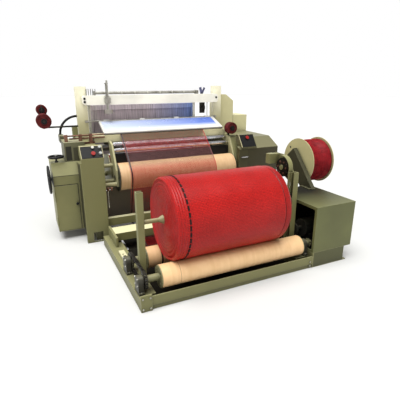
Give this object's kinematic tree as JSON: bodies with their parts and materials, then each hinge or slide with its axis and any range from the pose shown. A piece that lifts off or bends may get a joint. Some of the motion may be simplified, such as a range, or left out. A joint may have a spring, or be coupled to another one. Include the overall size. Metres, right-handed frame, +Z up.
{
  "type": "mesh bag making machine",
  "caption": "Loom for open plastic mesh with hinged guard, control consoles and cabinets, and a surface winder in front that winds the bag cloth into a large roll.",
  "frame": {"origin": "on the floor, at the centre of the winder base's anchor holes", "axes": "+X along the rollers to the drive cabinet, +Y from the winder to the back of the loom, +Z up"},
  "size_m": [2.82, 2.9449, 1.667],
  "materials": {
    "olive_paint": "semi-gloss khaki paint",
    "pale_paint": "pale cream-khaki paint",
    "cream_rubber": "smooth cream covering",
    "bare_steel": "turned steel",
    "polished_steel": "polished",
    "dark_iron": "blackened",
    "black_plastic": "moulded",
    "red_mesh": "woven flat plastic yarn",
    "red_yarn": "wound yarn",
    "red_plastic": "gloss",
    "white_plastic": "gloss",
    "blue_pane": "clear tinted sheet",
    "white_frame": "white paint",
    "violet_frame": "grey-violet paint",
    "copper_rod": "copper coloured"
  },
  "bodies": {
    "machine": {"front_rail": "olive_paint", "left_rail": "olive_paint", "right_rail": "olive_paint", "cross_members": "olive_paint", "guide_posts": "olive_paint", "roller_bearings": "olive_paint", "roller_chain": "dark_iron", "drive_cabinet": "olive_paint", "drive_motor": "olive_paint", "lift_bracket": "olive_paint", "spool_bracket": "olive_paint", "side_frames": "olive_paint", "left_end_cover": "olive_paint", "right_cabinet": "olive_paint", "control_plates": "black_plastic", "gear_box": "olive_paint", "upper_boxes": "olive_paint", "gantry_uprights": "pale_paint", "gantry_beam": "pale_paint", "gantry_rods": "bare_steel", "breast_beam": "olive_paint", "cover_bar": "dark_iron", "roller_brackets": "pale_paint", "warp_sheet": "red_yarn", "picking_box": "olive_paint", "weft_rods": "copper_rod", "cable_hose": "black_plastic", "package_holders": "bare_steel", "yarn_packages": "red_yarn", "mesh_web": "red_mesh"},
    "roll_carrier": {"roll_bushes": "dark_iron"},
    "roll": {"roll_shaft": "bare_steel", "cloth_roll": "red_mesh"},
    "front_roller": {"front_roller_core": "bare_steel", "front_roller_cover": "cream_rubber"},
    "rear_roller": {"rear_roller_core": "bare_steel", "rear_roller_cover": "cream_rubber"},
    "lift_wheel": {"lift_wheel": "dark_iron"},
    "spool": {"yarn_spool": "olive_paint", "spool_yarn": "red_yarn"},
    "take_up": {"take_up_core": "bare_steel", "take_up_cover": "cream_rubber"},
    "upper_guide": {"upper_guide_roller": "polished_steel"},
    "lower_guide": {"lower_guide_roller": "polished_steel"},
    "top_handwheel": {"top_handwheel": "black_plastic"},
    "side_handwheel": {"side_handwheel": "black_plastic"},
    "door": {"gear_box_door": "olive_paint"},
    "guard": {"guard_frame": "white_frame", "guard_pane": "blue_pane"},
    "start": {"start_button": "white_plastic"},
    "jog": {"jog_button": "white_plastic"},
    "reverse": {"reverse_button": "white_plastic"},
    "stop": {"stop_button": "red_plastic"},
    "right_stop": {"right_stop_button": "red_plastic"},
    "sley": {"sley": "bare_steel"},
    "front_heald": {"front_heald_frame": "violet_frame"},
    "rear_heald": {"rear_heald_frame": "violet_frame"},
    "warp_beam": {"warp_beam": "olive_paint", "warp_yarn": "red_yarn"},
    "back_rest": {"back_rest": "polished_steel"}
  },
  "joints": [
    {"name": "roll_rise", "type": "slide", "parent": "machine", "child": "roll_carrier", "axis": [0, 0, 1], "range_m": [0, 0.12]},
    {"name": "roll_spin", "type": "hinge", "parent": "roll_carrier", "child": "roll", "pos_m": [0, -0.372, 0.59763], "axis": [1, 0, 0], "continuous": true},
    {"name": "front_roller_spin", "type": "hinge", "parent": "machine", "child": "front_roller", "pos_m": [0, -0.5498, 0.198], "axis": [1, 0, 0], "continuous": true, "deforming": ["roller_chain"]},
    {"name": "rear_roller_spin", "type": "hinge", "parent": "machine", "child": "rear_roller", "pos_m": [0, -0.1942, 0.198], "axis": [1, 0, 0], "continuous": true},
    {"name": "lift_wheel_spin", "type": "hinge", "parent": "machine", "child": "lift_wheel", "pos_m": [0.775, -0.217, 0.87], "axis": [1, 0, 0], "continuous": true},
    {"name": "spool_spin", "type": "hinge", "parent": "machine", "child": "spool", "pos_m": [1.35, 0.104, 0.828], "axis": [1, 0, 0], "continuous": true},
    {"name": "take_up_spin", "type": "hinge", "parent": "machine", "child": "take_up", "pos_m": [0.07, 0.948, 0.652], "axis": [1, 0, 0], "continuous": true},
    {"name": "upper_guide_spin", "type": "hinge", "parent": "machine", "child": "upper_guide", "pos_m": [0.07, 1.111, 0.985], "axis": [1, 0, 0], "continuous": true},
    {"name": "lower_guide_spin", "type": "hinge", "parent": "machine", "child": "lower_guide", "pos_m": [0.07, 1.046, 0.93], "axis": [1, 0, 0], "continuous": true},
    {"name": "top_handwheel_turn", "type": "hinge", "parent": "machine", "child": "top_handwheel", "pos_m": [-1.165, 1.103, 0.898], "axis": [0, 0, 1], "continuous": true},
    {"name": "side_handwheel_turn", "type": "hinge", "parent": "machine", "child": "side_handwheel", "pos_m": [-1.259, 1.048, 0.672], "axis": [1, 0, 0], "continuous": true},
    {"name": "door_swing", "type": "hinge", "parent": "machine", "child": "door", "pos_m": [-1.225, 0.982, 0.36], "axis": [0, 0, -1], "range_deg": [0, 105]},
    {"name": "guard_lift", "type": "hinge", "parent": "machine", "child": "guard", "pos_m": [0.118, 1.466, 1.212], "axis": [-1, 0, 0], "range_deg": [0, 50]},
    {"name": "start_press", "type": "slide", "parent": "machine", "child": "start", "axis": [0, 0.8042, -0.5944], "range_m": [0, 0.004], "stiffness_N_per_m": 400, "springref_m": -0.003},
    {"name": "jog_press", "type": "slide", "parent": "machine", "child": "jog", "axis": [0, 0.8042, -0.5944], "range_m": [0, 0.004], "stiffness_N_per_m": 400, "springref_m": -0.003},
    {"name": "reverse_press", "type": "slide", "parent": "machine", "child": "reverse", "axis": [0, 0.8042, -0.5944], "range_m": [0, 0.004], "stiffness_N_per_m": 400, "springref_m": -0.003},
    {"name": "stop_press", "type": "slide", "parent": "machine", "child": "stop", "axis": [0, 0.8042, -0.5944], "range_m": [0, 0.004], "stiffness_N_per_m": 400, "springref_m": -0.003},
    {"name": "right_stop_press", "type": "slide", "parent": "machine", "child": "right_stop", "axis": [0, 0.8176, -0.5758], "range_m": [0, 0.004], "stiffness_N_per_m": 400, "springref_m": -0.003},
    {"name": "sley_swing", "type": "hinge", "parent": "machine", "child": "sley", "pos_m": [0.07, 1.488, 0.9], "axis": [1, 0, 0], "range_deg": [-6, 3]},
    {"name": "front_heald_lift", "type": "slide", "parent": "machine", "child": "front_heald", "axis": [0, 0, 1], "range_m": [-0.03, 0.03]},
    {"name": "rear_heald_lift", "type": "slide", "parent": "machine", "child": "rear_heald", "axis": [0, 0, 1], "range_m": [-0.03, 0.03]},
    {"name": "warp_beam_spin", "type": "hinge", "parent": "machine", "child": "warp_beam", "pos_m": [0.07, 1.888, 0.48], "axis": [1, 0, 0], "continuous": true},
    {"name": "back_rest_spin", "type": "hinge", "parent": "machine", "child": "back_rest", "pos_m": [0.07, 2.088, 1.0449], "axis": [1, 0, 0], "continuous": true}
  ],
  "couplings": [
    {"joint": "front_roller_spin", "follows": "roll_spin", "ratio": -3.75},
    {"joint": "rear_roller_spin", "follows": "roll_spin", "ratio": -3.75},
    {"joint": "upper_guide_spin", "follows": "take_up_spin", "ratio": 5.7692},
    {"joint": "lower_guide_spin", "follows": "take_up_spin", "ratio": 6.8182},
    {"joint": "back_rest_spin", "follows": "warp_beam_spin", "ratio": 5.3333},
    {"joint": "rear_heald_lift", "follows": "front_heald_lift", "ratio": -1}
  ]
}
